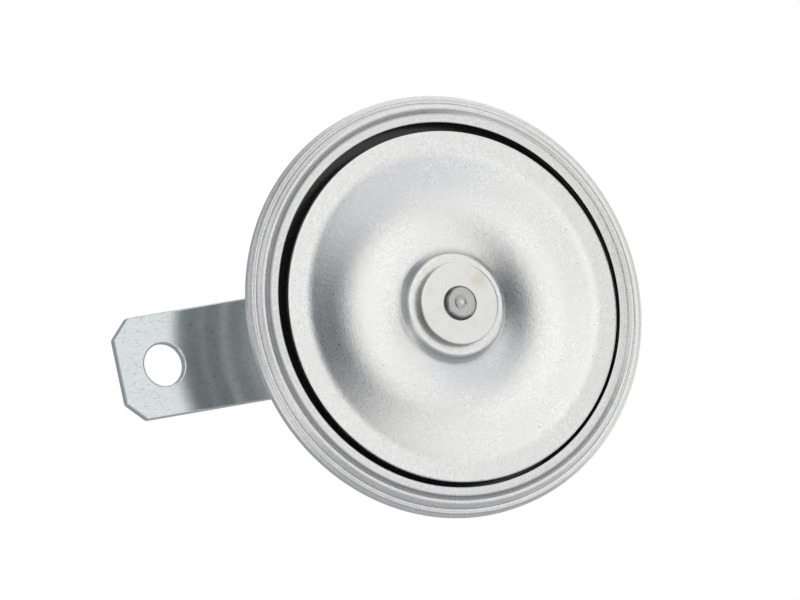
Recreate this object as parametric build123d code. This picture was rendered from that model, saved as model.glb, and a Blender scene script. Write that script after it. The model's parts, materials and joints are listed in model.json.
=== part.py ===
"""Electric disc horn on a flat strap bracket.

Each piece is drawn in the horn's own frame: its axis is Z, the front is +Z, and height 0 is the plane
where the crimped rim is widest. save() turns it into the part's frame, where the horn faces -Y, +Z is
up, and the origin is the centre of the bracket's bolt hole on the face that seats on the car.
"""

import os
from math import atan2, cos, radians, sin, tan

from build123d import *

# ---------------------------------------------------------------- driving sizes, in mm and degrees
# crimped rim
RIM_RADIUS = 45.0
LIP_WIDTH = 1.5  # from the rim's edge to the end of the rolled lip
LIP_BEVEL = 0.75  # bevel that the roller leaves on the rim's front corner
LIP_FRONT = 0.45
LIP_FALL = 0.1
LIP_CORNER_ROUND = 0.5
LIP_END_ROUND = 0.2
LIP_BACK_ROUND = 0.05
RIM_BEND = 0.8

# housing
HOUSING_SHEET = 0.9
HOUSING_DEPTH = 22.0  # from the rim's plane to the rear face
FLANGE_WIDTH = 10.5  # from the wall to the rim's edge
FLOOR_BEND = 2.0
FLANGE_BEND = 1.5
SEAT_STEP = 0.4  # how far the gasket's seat stands in front of the rest of the flange
SEAT_BEND_INSIDE = 0.3
SEAT_BEND_OUTSIDE = 0.5

# clamp ring
RING_SHEET = 0.8
RING_WIDTH = 6.1  # from the rim's edge to the ring's opening
RING_EDGE_HEIGHT = 2.05
LAND_WIDTH = 1.85  # from the opening to the corner where the flat land falls
CREASE_WIDTH = 2.45
CREASE_HEIGHT = 1.2
BEAD_WIDTH = 3.5  # from the opening to the corner that the bead rounds
BEAD_HEIGHT = 2.35
RING_EDGE_ROUND = 0.3
LAND_BEND = 0.4
CREASE_ROUND = 0.1
CREASE_BACK_ROUND = 0.7
BEAD_ROUND = 0.7
BEAD_BACK_ROUND = 0.05
FOOT_ROUND = 0.1
FOOT_BACK_ROUND = 0.3
FOOT_REACH = 0.2  # how far the ring's slope runs in from the lip's end

# diaphragm and its gaskets
DIAPHRAGM_SHEET = 0.3
GASKET_SHEET = 0.25
GASKET_WIDTH = 3.4
DISH_DEPTH = 2.0
DISH_FLAT_RADIUS = 14.0
DISH_BEND = 3.0

# tone disc
SOUND_GAP = 1.44  # open ring between the disc and the clamp ring
DISC_SHEET = 1.5
DISC_HEIGHT = 3.1
BRIM_WIDTH = 4.96
TROUGH_WIDTH = 11.6  # from the brim's crease to the trough's middle
TROUGH_DEPTH = 3.24
TROUGH_BEND = 27.0
TROUGH_BEND_SHARE = 0.85  # the most of the shorter slope that the trough's bend takes up
BOSS_RADIUS = 10.9
BOSS_HEIGHT = 1.53
BOSS_FLANK = 0.5
BOSS_FOOT_HEIGHT = 2.5
DISC_EDGE_ROUND = 0.3
BOSS_ROUND = 0.6
BOSS_FOOT_ROUND = 1.2
BOSS_BACK_ROUND = 0.2
BRIM_ROUND = 6.0

# how far the tone disc, hub and armature hang off the horn's axis
SOUNDER_OFF_X = 0.16
SOUNDER_OFF_Y = -0.6

# hub: washer, bush and peened armature spigot
HUB_WASHER_RADIUS = 8.85
HUB_WASHER_THICKNESS = 2.0
HUB_WASHER_ROUND = 0.35
SPIGOT_RADIUS = 3.0
PEEN_BASE_RADIUS = 3.7
PEEN_TOP_RADIUS = 2.98
PEEN_HEIGHT = 1.3
PEEN_EDGE = 0.25
PEEN_ROUND = 0.3
PEEN_DIMPLE_RADIUS = 0.7
BUSH_RADIUS = 5.0
DIAPHRAGM_WASHER_RADIUS = 11.0
DIAPHRAGM_WASHER_THICKNESS = 1.0

# magnet
ARMATURE_RADIUS = 7.6
ARMATURE_LENGTH = 7.0
ARMATURE_CHAMFER = 0.4
COLLAR_RADIUS = 12.0
COLLAR_THICKNESS = 1.5
AIR_GAP = 0.8
CORE_RADIUS = 8.6
BOBBIN_WALL = 1.0
BOBBIN_RADIUS = 19.0
BOBBIN_OVERLAP = 2.3  # how far the bobbin stands in front of the pole core
WINDING_INSET = 0.7

# contact breaker
BREAKER_WIDTH = 8.0
CLAMP_LENGTH = 5.0
STAKE_RADIUS = 1.5
STAKE_HEAD_RADIUS = 2.4
STAKE_HEAD_HEIGHT = 0.7
INSULATOR_LOWER_THICKNESS = 1.0
INSULATOR_UPPER_THICKNESS = 1.7
LEAF_THICKNESS = 0.3
LEAF_LENGTH = 14.5
LEAF_TAB = 3.0
LEAF_TAB_WIDTH = 2.4
LEAF_TAB_LEAD = 0.6  # from the tab's middle out to its lead
ARM_THICKNESS = 0.4
ARM_WIDTH = 6.0
ARM_FROM_ARMATURE = 1.8
ARM_CLEARANCE = 2.2  # free length of leaf between the clamp and the arm
FIXED_ARM_THICKNESS = 0.8
FIXED_ARM_LENGTH = 13.0
EAR_WIDTH = 6.5
EAR_REACH = 13.0
EAR_LEAD_INSET = 1.2  # from the ear's edges in to its lead
CONTACT_RADIUS = 1.6
CONTACT_SHANK_RADIUS = 0.8
CONTACT_HEAD_RADIUS = 1.2
CONTACT_HEAD_HEIGHT = 0.4
CONTACT_FROM_CLAMP = 6.0
CONTACT_GAP = 0.05
TIP_LENGTH = 3.0
TIP_THICKNESS = 1.375
TIP_GAP = 0.1  # between the arm's tip and the armature's collar
RIVET_RADIUS = 0.8
RIVET_HEAD_RADIUS = 1.4
RIVET_HEAD_HEIGHT = 0.4
RIVET_DEPTH = 2.4  # into the post
RIVET_SPACING = 4.6

# adjuster
ADJUSTER_ANGLE = -23.4
ADJUSTER_FROM_BOBBIN = 1.2
ADJUSTER_RADIUS = 2.45
ADJUSTER_BUSH_RADIUS = 4.0
ADJUSTER_BUSH_STANDOUT = 1.2
ADJUSTER_STANDOUT = 2.6
ADJUSTER_SLOT_WIDTH = 0.9
ADJUSTER_SLOT_DEPTH = 1.3

# terminals
TERMINAL_ANGLE = 45.0
TERMINAL_FROM_BOBBIN = 1.3
TERMINAL_SPACING = 9.0
BLADE_WIDTH = 6.3
BLADE_THICKNESS = 0.8
BLADE_LENGTH = 8.0
BLADE_HOLE_RADIUS = 0.9
BLADE_HOLE_FROM_END = 3.6
BLADE_TIP_CHAMFER = 1.0
TAIL_WIDTH = 3.0
TAIL_LENGTH = 2.0
BLOCK_LENGTH = 20.0
BLOCK_WIDTH = 8.4
BLOCK_THICKNESS = 3.0
BLOCK_ROUND = 1.5
NECK_LENGTH = 12.5
NECK_WIDTH = 5.4
NECK_HEIGHT = 2.0
TERMINAL_RIVET_SPACING = 16.4
TERMINAL_RIVET_RADIUS = 1.1
TERMINAL_RIVET_HEAD_RADIUS = 1.8
TERMINAL_RIVET_HEAD_HEIGHT = 0.6
LEAD_RADIUS = 0.35
LEAD_BEND = 1.5

# bracket and its fastener
BRACKET_REACH = 56.5  # from the bolt hole to the horn's axis
BRACKET_WIDTH = 22.0
BRACKET_THICKNESS = 2.0
BRACKET_END = 10.25  # from the bolt hole to the free end
BRACKET_CORNER = 4.0
BOLT_HOLE_RADIUS = 4.5
STUD_RADIUS = 4.0
STUD_STANDOUT = 3.0
STUD_CHAMFER = 0.8
SPRING_WASHER_RADIUS = 7.4
SPRING_WASHER_THICKNESS = 2.0
SPRING_WASHER_SLIT = 1.2
NUT_ACROSS_FLATS = 13.0
NUT_HEIGHT = 6.5
NUT_CHAMFER = 0.6

# clearances
SEAT_CLEARANCE = 0.05  # round a shaft in a hole of its own body
FREE_CLEARANCE = 0.2  # round a shaft that moves past a hole
RING_FOOT_CLEARANCE = 0.25
LEAD_CLEARANCE = 0.1

# ---------------------------------------------------------------- places that follow from them
# radii
rim_bore = RIM_RADIUS - HOUSING_SHEET
lip_end_radius = RIM_RADIUS - LIP_WIDTH
wall_radius = RIM_RADIUS - FLANGE_WIDTH
wall_bore = wall_radius - HOUSING_SHEET
ring_opening = RIM_RADIUS - RING_WIDTH
foot_radius = rim_bore - RING_FOOT_CLEARANCE
stack_radius = rim_bore - RIM_BEND
gasket_bore = stack_radius - GASKET_WIDTH
seat_radius = gasket_bore - FREE_CLEARANCE
disc_radius = ring_opening - SOUND_GAP
brim_radius = disc_radius - BRIM_WIDTH
trough_radius = brim_radius - TROUGH_WIDTH
boss_foot_radius = BOSS_RADIUS + BOSS_FLANK
spigot_hole = SPIGOT_RADIUS + SEAT_CLEARANCE
core_bore = CORE_RADIUS + SEAT_CLEARANCE
stud_hole = STUD_RADIUS + SEAT_CLEARANCE

# heights, from the front to the rear
lip_end_height = LIP_FRONT - LIP_FALL
foot_front = LIP_FRONT - HOUSING_SHEET - LIP_FALL - RING_FOOT_CLEARANCE / 2
foot_rear = foot_front - RING_SHEET
diaphragm_front = foot_rear - GASKET_SHEET
diaphragm_rear = diaphragm_front - DIAPHRAGM_SHEET
flange_front = diaphragm_rear - GASKET_SHEET
flange_rear = flange_front - HOUSING_SHEET
boss_front = DISC_HEIGHT + BOSS_HEIGHT
boss_rear = boss_front - DISC_SHEET
hub_front = boss_front + HUB_WASHER_THICKNESS
peen_front = hub_front + PEEN_HEIGHT
dish_front = diaphragm_front - DISH_DEPTH
dish_rear = dish_front - DIAPHRAGM_SHEET
collar_rear = dish_rear - COLLAR_THICKNESS
armature_rear = dish_rear - ARMATURE_LENGTH
core_front = armature_rear - AIR_GAP
bobbin_front = core_front + BOBBIN_OVERLAP
rear_face = -HOUSING_DEPTH
floor_front = rear_face + HOUSING_SHEET
bracket_rear = rear_face - BRACKET_THICKNESS
nut_front = bracket_rear - SPRING_WASHER_THICKNESS
nut_rear = nut_front - NUT_HEIGHT
stud_end = nut_rear - STUD_STANDOUT

# contact breaker, along +X from the horn's axis
floor_flat = wall_bore - FLOOR_BEND
clamp_outer = (floor_flat**2 - (BREAKER_WIDTH / 2) ** 2) ** 0.5 - FREE_CLEARANCE
clamp_inner = clamp_outer - CLAMP_LENGTH
clamp_middle = (clamp_outer + clamp_inner) / 2
arm_front = collar_rear - TIP_GAP - TIP_THICKNESS
leaf_front = arm_front - ARM_THICKNESS
leaf_rear = leaf_front - LEAF_THICKNESS
post_front = leaf_rear - INSULATOR_LOWER_THICKNESS
fixed_arm_rear = leaf_front + INSULATOR_UPPER_THICKNESS
fixed_arm_front = fixed_arm_rear + FIXED_ARM_THICKNESS
contact_x = clamp_inner - CONTACT_FROM_CLAMP
contact_meeting = (arm_front + fixed_arm_rear) / 2
arm_outer = clamp_inner - ARM_CLEARANCE
arm_inner = ARMATURE_RADIUS + ARM_FROM_ARMATURE
rivet_low = post_front - RIVET_DEPTH
rivet_ys = (-RIVET_SPACING / 2, RIVET_SPACING / 2)
tab_y = BREAKER_WIDTH / 2 + LEAF_TAB / 2

# adjuster
adjuster_distance = BOBBIN_RADIUS + ADJUSTER_FROM_BOBBIN + ADJUSTER_BUSH_RADIUS
adjuster_x = adjuster_distance * cos(radians(ADJUSTER_ANGLE))
adjuster_y = adjuster_distance * sin(radians(ADJUSTER_ANGLE))

# terminals
terminal_distance = BOBBIN_RADIUS + TERMINAL_FROM_BOBBIN + NECK_WIDTH / 2
terminal_ys = (-TERMINAL_RIVET_SPACING / 2, TERMINAL_RIVET_SPACING / 2)
block_rear = rear_face - BLOCK_THICKNESS
blade_end = block_rear - BLADE_LENGTH
neck_front = floor_front + NECK_HEIGHT
tail_front = neck_front + TAIL_LENGTH

# from the horn's frame to the part's frame
PLACE = Pos(BRACKET_REACH, bracket_rear, 0) * Rot(90, 0, 0)
TERMINALS = Rot(0, 0, TERMINAL_ANGLE) * Pos(terminal_distance, 0, 0)
SOUNDER = Pos(SOUNDER_OFF_X, SOUNDER_OFF_Y, 0)


# ---------------------------------------------------------------- helpers
def save(name, shape):
    """Writes one piece, turned into the part's frame."""
    export_step(PLACE * shape, f"parts/{name}.step")


def tube(outer, inner, low, high):
    """A round ring between two heights; an inner radius of 0 makes a solid disc."""
    body = Pos(0, 0, low) * extrude(Circle(outer), high - low)
    if inner:
        body -= Pos(0, 0, low) * extrude(Circle(inner), high - low)
    return body


def plate(x_low, x_high, y_low, y_high, low, high):
    """A flat block given by its limits."""
    outline = Pos((x_low + x_high) / 2, (y_low + y_high) / 2, low) * Rectangle(x_high - x_low, y_high - y_low)
    return extrude(outline, high - low)


def drill(x, y, radius, low, high):
    """A round cutter along Z."""
    return Pos(x, y, low) * extrude(Circle(radius), high - low)


def turned(section):
    """A flat (radius, height) section turned about the horn's axis."""
    return revolve(Plane.XZ * section, Axis.Z, 360)


def left_normal(start, end):
    """The unit vector to the left of a run between two (radius, height) points."""
    run = Vector(end[0] - start[0], end[1] - start[1]).normalized()
    return Vector(-run.Y, run.X)


def beside(points, distance):
    """A path moved sideways, to the left of its run, with mitred corners."""
    normals = [left_normal(a, b) for a, b in zip(points, points[1:])]
    moved = []
    for (r, z), before, after in zip(points, normals[:1] + normals, normals + normals[-1:]):
        shift = (before + after) * (distance / (1 + before.dot(after)))
        moved.append((r + shift.X, z + shift.Y))
    return moved


def pressed(points, bends, thickness):
    """A round pressing. points run along one face, and the sheet lies to the left of their run, or to the
    right if thickness is negative. bends has a pair of radii for each bend: on that face, then behind it."""
    face = FilletPolyline(*points, radius=[near for near, _ in bends])
    back = FilletPolyline(*beside(points, thickness), radius=[far for _, far in bends])
    section = make_face([face, Line(face @ 1, back @ 1), back, Line(back @ 0, face @ 0)])
    return turned(section)


def wire(points):
    """A round insulated lead along straight runs joined by arcs."""
    path = FilletPolyline(*points, radius=LEAD_BEND)
    start = Plane(origin=path @ 0, z_dir=path % 0)
    return sweep(start * Circle(LEAD_RADIUS), path=path)


# ---------------------------------------------------------------- housing, ring, diaphragm
def housing():
    """Cup with a flange, and with its edge rolled over the clamp ring's foot."""
    points = [
        (stud_hole, rear_face),
        (wall_radius, rear_face),
        (wall_radius, flange_rear - SEAT_STEP),
        (seat_radius - SEAT_STEP, flange_rear - SEAT_STEP),
        (seat_radius, flange_rear),
        (RIM_RADIUS, flange_rear),
        (RIM_RADIUS, LIP_FRONT - LIP_BEVEL),
        (RIM_RADIUS - LIP_BEVEL, LIP_FRONT),
        (lip_end_radius, lip_end_height),
    ]
    bends = [
        (FLOOR_BEND + HOUSING_SHEET, FLOOR_BEND),
        (FLANGE_BEND, FLANGE_BEND + HOUSING_SHEET),
        (SEAT_BEND_OUTSIDE, SEAT_BEND_INSIDE),
        (SEAT_BEND_INSIDE, SEAT_BEND_OUTSIDE),
        (RIM_BEND + HOUSING_SHEET, RIM_BEND),
        (LIP_CORNER_ROUND, LIP_BACK_ROUND),
        (LIP_END_ROUND, LIP_BACK_ROUND),
    ]
    body = pressed(points, bends, HOUSING_SHEET)
    window = Rectangle(NECK_WIDTH + 2 * SEAT_CLEARANCE, NECK_LENGTH + 2 * SEAT_CLEARANCE)
    body -= TERMINALS * Pos(0, 0, rear_face) * extrude(window, HOUSING_SHEET)
    for y in terminal_ys:
        body -= TERMINALS * drill(0, y, TERMINAL_RIVET_RADIUS, rear_face, floor_front)
    body -= drill(clamp_middle, 0, STAKE_RADIUS, rear_face, floor_front)
    body -= drill(adjuster_x, adjuster_y, ADJUSTER_BUSH_RADIUS, rear_face, floor_front)
    return body


def clamp_ring():
    """Pressed ring: a flat land round the opening, a crease, a bead and a foot under the lip."""
    points = [
        (ring_opening, RING_EDGE_HEIGHT),
        (ring_opening + LAND_WIDTH, RING_EDGE_HEIGHT),
        (ring_opening + CREASE_WIDTH, CREASE_HEIGHT),
        (ring_opening + BEAD_WIDTH, BEAD_HEIGHT),
        (lip_end_radius - FOOT_REACH, foot_front),
        (foot_radius, foot_front),
    ]
    bends = [
        (LAND_BEND + RING_SHEET, LAND_BEND),
        (CREASE_ROUND, CREASE_BACK_ROUND),
        (BEAD_ROUND, BEAD_BACK_ROUND),
        (FOOT_ROUND, FOOT_BACK_ROUND),
    ]
    body = pressed(points, bends, -RING_SHEET)
    front_edge = body.edges().filter_by(GeomType.CIRCLE).group_by(Axis.Z)[-1].sort_by(SortBy.RADIUS)[0]
    return fillet(front_edge, RING_EDGE_ROUND)


def gasket(rear):
    """Flat ring of sealing paper."""
    return tube(stack_radius, gasket_bore, rear, rear + GASKET_SHEET)


def diaphragm():
    """Thin sheet, held at its edge and dished to the rear."""
    points = [
        (SPIGOT_RADIUS / 2, dish_front),
        (DISH_FLAT_RADIUS, dish_front),
        (wall_bore - DISH_BEND / 4, diaphragm_front),
        (stack_radius, diaphragm_front),
    ]
    bends = [(DISH_BEND, DISH_BEND), (DISH_BEND, DISH_BEND)]
    body = pressed(points, bends, -DIAPHRAGM_SHEET)
    return body - SOUNDER * tube(SPIGOT_RADIUS + FREE_CLEARANCE, 0, dish_rear, dish_front)


# ---------------------------------------------------------------- what the diaphragm carries
def tone_disc():
    """Dished plate with a flat brim, a trough and a raised boss."""
    trough_height = DISC_HEIGHT - TROUGH_DEPTH
    points = [
        (spigot_hole, boss_front),
        (BOSS_RADIUS, boss_front),
        (boss_foot_radius, BOSS_FOOT_HEIGHT),
        (trough_radius, trough_height),
        (brim_radius, DISC_HEIGHT),
        (disc_radius, DISC_HEIGHT),
    ]
    inner_width = trough_radius - boss_foot_radius
    turn = atan2(TROUGH_DEPTH, TROUGH_WIDTH) + atan2(BOSS_FOOT_HEIGHT - trough_height, inner_width)
    room = TROUGH_BEND_SHARE * min(TROUGH_WIDTH, inner_width)
    trough_bend = min(TROUGH_BEND, room / tan(turn / 2))
    bends = [
        (BOSS_ROUND, BOSS_BACK_ROUND),
        (BOSS_FOOT_ROUND, BOSS_FOOT_ROUND + DISC_SHEET),
        (trough_bend, trough_bend + DISC_SHEET),
        (BRIM_ROUND, BRIM_ROUND - DISC_SHEET),
    ]
    body = pressed(points, bends, -DISC_SHEET)
    rim = body.edges().filter_by(GeomType.CIRCLE).sort_by(SortBy.RADIUS)[-2:]
    return SOUNDER * fillet(rim, DISC_EDGE_ROUND)


def hub_washer():
    """Thick washer under the peened end."""
    body = tube(HUB_WASHER_RADIUS, spigot_hole, boss_front, hub_front)
    edge = body.edges().filter_by(GeomType.CIRCLE).group_by(Axis.Z)[-1].sort_by(SortBy.RADIUS)[-1]
    return SOUNDER * fillet(edge, HUB_WASHER_ROUND)


def armature():
    """Plunger with its collar, and a spigot peened over the hub washer."""
    section = Polyline(
        (0, armature_rear),
        (ARMATURE_RADIUS - ARMATURE_CHAMFER, armature_rear),
        (ARMATURE_RADIUS, armature_rear + ARMATURE_CHAMFER),
        (ARMATURE_RADIUS, collar_rear),
        (COLLAR_RADIUS, collar_rear),
        (COLLAR_RADIUS, dish_rear),
        (SPIGOT_RADIUS, dish_rear),
        (SPIGOT_RADIUS, hub_front),
        (PEEN_BASE_RADIUS, hub_front),
        (PEEN_BASE_RADIUS, hub_front + PEEN_EDGE),
        (PEEN_TOP_RADIUS, peen_front),
        (PEEN_DIMPLE_RADIUS, peen_front),
        (0, peen_front - PEEN_DIMPLE_RADIUS / 2),
        close=True,
    )
    body = turned(make_face(section))
    top = body.edges().filter_by(GeomType.CIRCLE).group_by(Axis.Z)[-1].sort_by(SortBy.RADIUS)[-1]
    return SOUNDER * fillet(top, PEEN_ROUND)


def diaphragm_washer():
    """Spreads the clamping load over the diaphragm."""
    high = dish_front + DIAPHRAGM_WASHER_THICKNESS
    return SOUNDER * tube(DIAPHRAGM_WASHER_RADIUS, spigot_hole, dish_front, high)


def spacer_bush():
    """Holds the tone disc off the diaphragm."""
    return SOUNDER * tube(BUSH_RADIUS, spigot_hole, dish_front + DIAPHRAGM_WASHER_THICKNESS, boss_rear)


# ---------------------------------------------------------------- magnet
def pole_core():
    """Fixed pole, in one piece with the stud that carries the horn."""
    core = tube(CORE_RADIUS, 0, floor_front, core_front)
    stud = tube(STUD_RADIUS, 0, stud_end, floor_front)
    end = stud.edges().filter_by(GeomType.CIRCLE).group_by(Axis.Z)[0]
    return core + chamfer(end, STUD_CHAMFER)


def coil_bobbin():
    """Moulded spool round the pole."""
    drum_radius = core_bore + BOBBIN_WALL
    body = tube(drum_radius, core_bore, floor_front, bobbin_front)
    body += tube(BOBBIN_RADIUS, core_bore, floor_front, floor_front + BOBBIN_WALL)
    body += tube(BOBBIN_RADIUS, core_bore, bobbin_front - BOBBIN_WALL, bobbin_front)
    return body


def coil_winding():
    """The turns of enamelled wire, as one body."""
    drum_radius = core_bore + BOBBIN_WALL
    low = floor_front + BOBBIN_WALL
    high = bobbin_front - BOBBIN_WALL
    return tube(BOBBIN_RADIUS - WINDING_INSET, drum_radius, low, high)


# ---------------------------------------------------------------- contact breaker
def rivet_holes(low, high):
    """Cutters for the breaker's two rivets."""
    return [drill(clamp_middle, y, RIVET_RADIUS, low, high) for y in rivet_ys]


def breaker_post():
    """Block staked to the housing floor; it carries the breaker's clamped stack."""
    half = BREAKER_WIDTH / 2
    body = plate(clamp_inner, clamp_outer, -half, half, floor_front, post_front)
    body += drill(clamp_middle, 0, STAKE_RADIUS, rear_face, floor_front)
    head_low = rear_face - STAKE_HEAD_HEIGHT
    body += drill(clamp_middle, 0, STAKE_HEAD_RADIUS, head_low, rear_face)
    body -= rivet_holes(rivet_low, post_front)
    return body


def insulator(low, high):
    """Insulating plate of the clamped stack."""
    half = BREAKER_WIDTH / 2
    body = plate(clamp_inner, clamp_outer, -half, half, low, high)
    body -= rivet_holes(low, high)
    return body


def breaker_leaf():
    """Spring leaf, with a tab for its lead."""
    half = ARM_WIDTH / 2
    body = plate(clamp_outer - LEAF_LENGTH, clamp_outer, -half, half, leaf_rear, leaf_front)
    tab_low = clamp_middle - LEAF_TAB_WIDTH / 2
    tab_end = tab_y + LEAF_TAB / 2
    body += plate(tab_low, tab_low + LEAF_TAB_WIDTH, half, tab_end, leaf_rear, leaf_front)
    body -= rivet_holes(leaf_rear, leaf_front)
    body -= drill(contact_x, 0, CONTACT_SHANK_RADIUS, leaf_rear, leaf_front)
    return body


def breaker_arm():
    """Stiff arm on the leaf, pushed by the armature's collar."""
    half = ARM_WIDTH / 2
    body = plate(arm_inner, arm_outer, -half, half, leaf_front, arm_front)
    body -= drill(contact_x, 0, CONTACT_SHANK_RADIUS, leaf_front, arm_front)
    return body


def arm_tip():
    """Insulating pad on the arm, just clear of the collar."""
    half = ARM_WIDTH / 2
    return plate(arm_inner, arm_inner + TIP_LENGTH, -half, half, arm_front, arm_front + TIP_THICKNESS)


def moving_contact():
    """Contact riveted through the arm and the leaf."""
    button = drill(contact_x, 0, CONTACT_RADIUS, arm_front, contact_meeting - CONTACT_GAP)
    shank = drill(contact_x, 0, CONTACT_SHANK_RADIUS, leaf_rear, arm_front)
    head = drill(contact_x, 0, CONTACT_HEAD_RADIUS, leaf_rear - CONTACT_HEAD_HEIGHT, leaf_rear)
    return button + shank + head


def fixed_arm():
    """Rigid arm over the leaf, with an ear that the adjusting screw bears on."""
    half = BREAKER_WIDTH / 2
    inner = clamp_outer - FIXED_ARM_LENGTH
    body = plate(inner, clamp_outer, -half, half, fixed_arm_rear, fixed_arm_front)
    ear_low = adjuster_x - EAR_WIDTH / 2
    body += plate(ear_low, ear_low + EAR_WIDTH, -half - EAR_REACH, -half, fixed_arm_rear, fixed_arm_front)
    body -= rivet_holes(fixed_arm_rear, fixed_arm_front)
    body -= drill(contact_x, 0, CONTACT_SHANK_RADIUS, fixed_arm_rear, fixed_arm_front)
    return body


def fixed_contact():
    """Contact riveted through the fixed arm."""
    button = drill(contact_x, 0, CONTACT_RADIUS, contact_meeting, fixed_arm_rear)
    shank = drill(contact_x, 0, CONTACT_SHANK_RADIUS, fixed_arm_rear, fixed_arm_front)
    head_high = fixed_arm_front + CONTACT_HEAD_HEIGHT / 2
    head = drill(contact_x, 0, CONTACT_HEAD_RADIUS, fixed_arm_front, head_high)
    return button + shank + head


def breaker_rivets():
    """The two rivets through the clamped stack."""
    pair = []
    for y in rivet_ys:
        shank = drill(clamp_middle, y, RIVET_RADIUS, rivet_low, fixed_arm_front)
        head = drill(clamp_middle, y, RIVET_HEAD_RADIUS, fixed_arm_front, fixed_arm_front + RIVET_HEAD_HEIGHT)
        pair.append(shank + head)
    return Compound(pair)


# ---------------------------------------------------------------- adjuster
def adjuster_bush():
    """Threaded bush pressed into the floor."""
    low = rear_face - ADJUSTER_BUSH_STANDOUT
    body = drill(adjuster_x, adjuster_y, ADJUSTER_BUSH_RADIUS, low, floor_front)
    body -= drill(adjuster_x, adjuster_y, ADJUSTER_RADIUS + SEAT_CLEARANCE, low, floor_front)
    return body


def adjusting_screw():
    """Slotted grub screw that bears on the fixed arm's ear."""
    low = rear_face - ADJUSTER_STANDOUT
    body = drill(adjuster_x, adjuster_y, ADJUSTER_RADIUS, low, fixed_arm_rear)
    slot_high = low + ADJUSTER_SLOT_DEPTH
    half = ADJUSTER_SLOT_WIDTH / 2
    body -= plate(
        adjuster_x - ADJUSTER_RADIUS,
        adjuster_x + ADJUSTER_RADIUS,
        adjuster_y - half,
        adjuster_y + half,
        low,
        slot_high,
    )
    return body


# ---------------------------------------------------------------- terminals
def terminal_block():
    """Moulded block behind the floor, with a neck through it for the two blades."""
    outline = RectangleRounded(BLOCK_WIDTH, BLOCK_LENGTH, BLOCK_ROUND)
    body = Pos(0, 0, block_rear) * extrude(outline, BLOCK_THICKNESS)
    body += Pos(0, 0, rear_face) * extrude(Rectangle(NECK_WIDTH, NECK_LENGTH), neck_front - rear_face)
    for y in (-TERMINAL_SPACING / 2, TERMINAL_SPACING / 2):
        slot = Rectangle(TAIL_WIDTH + 2 * SEAT_CLEARANCE, BLADE_THICKNESS + 2 * SEAT_CLEARANCE)
        body -= Pos(0, y, block_rear) * extrude(slot, neck_front - block_rear)
    for y in terminal_ys:
        body -= drill(0, y, TERMINAL_RIVET_RADIUS, block_rear, rear_face)
    return TERMINALS * body


def terminal(side):
    """Blade terminal: a standard tab behind the block, and a tail inside the housing."""
    y = side * TERMINAL_SPACING / 2
    half = BLADE_THICKNESS / 2
    blade = plate(-BLADE_WIDTH / 2, BLADE_WIDTH / 2, y - half, y + half, blade_end, block_rear)
    tip = blade.edges().filter_by(Axis.Y).group_by(Axis.Z)[0]
    blade = chamfer(tip, BLADE_TIP_CHAMFER)
    hole_height = blade_end + BLADE_HOLE_FROM_END
    cutter = Pos(0, y, hole_height) * Rot(90, 0, 0) * Cylinder(BLADE_HOLE_RADIUS, 3 * BLADE_THICKNESS)
    blade -= cutter
    tail = plate(-TAIL_WIDTH / 2, TAIL_WIDTH / 2, y - half, y + half, block_rear, tail_front)
    return TERMINALS * (blade + tail)


def terminal_rivets():
    """The two rivets that hold the block to the floor."""
    pair = []
    for y in terminal_ys:
        shank = drill(0, y, TERMINAL_RIVET_RADIUS, block_rear, floor_front)
        rear_head = block_rear - TERMINAL_RIVET_HEAD_HEIGHT
        outside = drill(0, y, TERMINAL_RIVET_HEAD_RADIUS, rear_head, block_rear)
        front_head = floor_front + TERMINAL_RIVET_HEAD_HEIGHT
        inside = drill(0, y, TERMINAL_RIVET_HEAD_RADIUS, floor_front, front_head)
        pair.append(TERMINALS * (shank + outside + inside))
    return Compound(pair)


def terminal_place(side):
    """(x, y) of a terminal's tail in the horn's frame."""
    turn = radians(TERMINAL_ANGLE)
    along = side * TERMINAL_SPACING / 2
    x = terminal_distance * cos(turn) - along * sin(turn)
    y = terminal_distance * sin(turn) + along * cos(turn)
    return x, y


def coil_lead_in():
    """From the winding to its terminal."""
    x, y = terminal_place(1)
    distance = (x * x + y * y) ** 0.5
    start = (BOBBIN_RADIUS - WINDING_INSET + LEAD_CLEARANCE) / distance
    height = tail_front + 2 * LEAD_BEND
    return wire([(x * start, y * start, height), (x, y, height), (x, y, tail_front)])


def coil_lead_out():
    """From the winding to the fixed arm's ear."""
    x = adjuster_x - EAR_WIDTH / 2 + EAR_LEAD_INSET
    y = -BREAKER_WIDTH / 2 - EAR_REACH + EAR_LEAD_INSET
    distance = (x * x + y * y) ** 0.5
    start = (BOBBIN_RADIUS - WINDING_INSET + LEAD_CLEARANCE) / distance
    height = floor_front + 3 * LEAD_BEND
    return wire([(x * start, y * start, height), (x, y, height), (x, y, fixed_arm_rear)])


def breaker_lead():
    """From the leaf's tab to its terminal."""
    x, y = terminal_place(-1)
    height = tail_front + 3 * LEAD_BEND
    start_y = tab_y + LEAF_TAB_LEAD
    return wire(
        [
            (clamp_middle, start_y, leaf_rear),
            (clamp_middle, start_y, height),
            (x, y, height),
            (x, y, tail_front),
        ]
    )


# ---------------------------------------------------------------- bracket and fastener
def bracket():
    """Flat strap: cut corners and the bolt hole at one end, a round end on the stud."""
    half = BRACKET_WIDTH / 2
    free_end = -BRACKET_REACH - BRACKET_END
    body = plate(free_end, 0, -half, half, bracket_rear, rear_face)
    corners = body.edges().filter_by(Axis.Z).group_by(Axis.X)[0]
    body = chamfer(corners, BRACKET_CORNER)
    body += tube(half, 0, bracket_rear, rear_face)
    body -= drill(0, 0, stud_hole, bracket_rear, rear_face)
    body -= drill(-BRACKET_REACH, 0, BOLT_HOLE_RADIUS, bracket_rear, rear_face)
    return body


def spring_washer():
    """Split washer under the nut."""
    body = tube(SPRING_WASHER_RADIUS, stud_hole, nut_front, bracket_rear)
    half = SPRING_WASHER_SLIT / 2
    body -= plate(0, SPRING_WASHER_RADIUS, -half, half, nut_front, bracket_rear)
    return body


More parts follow.
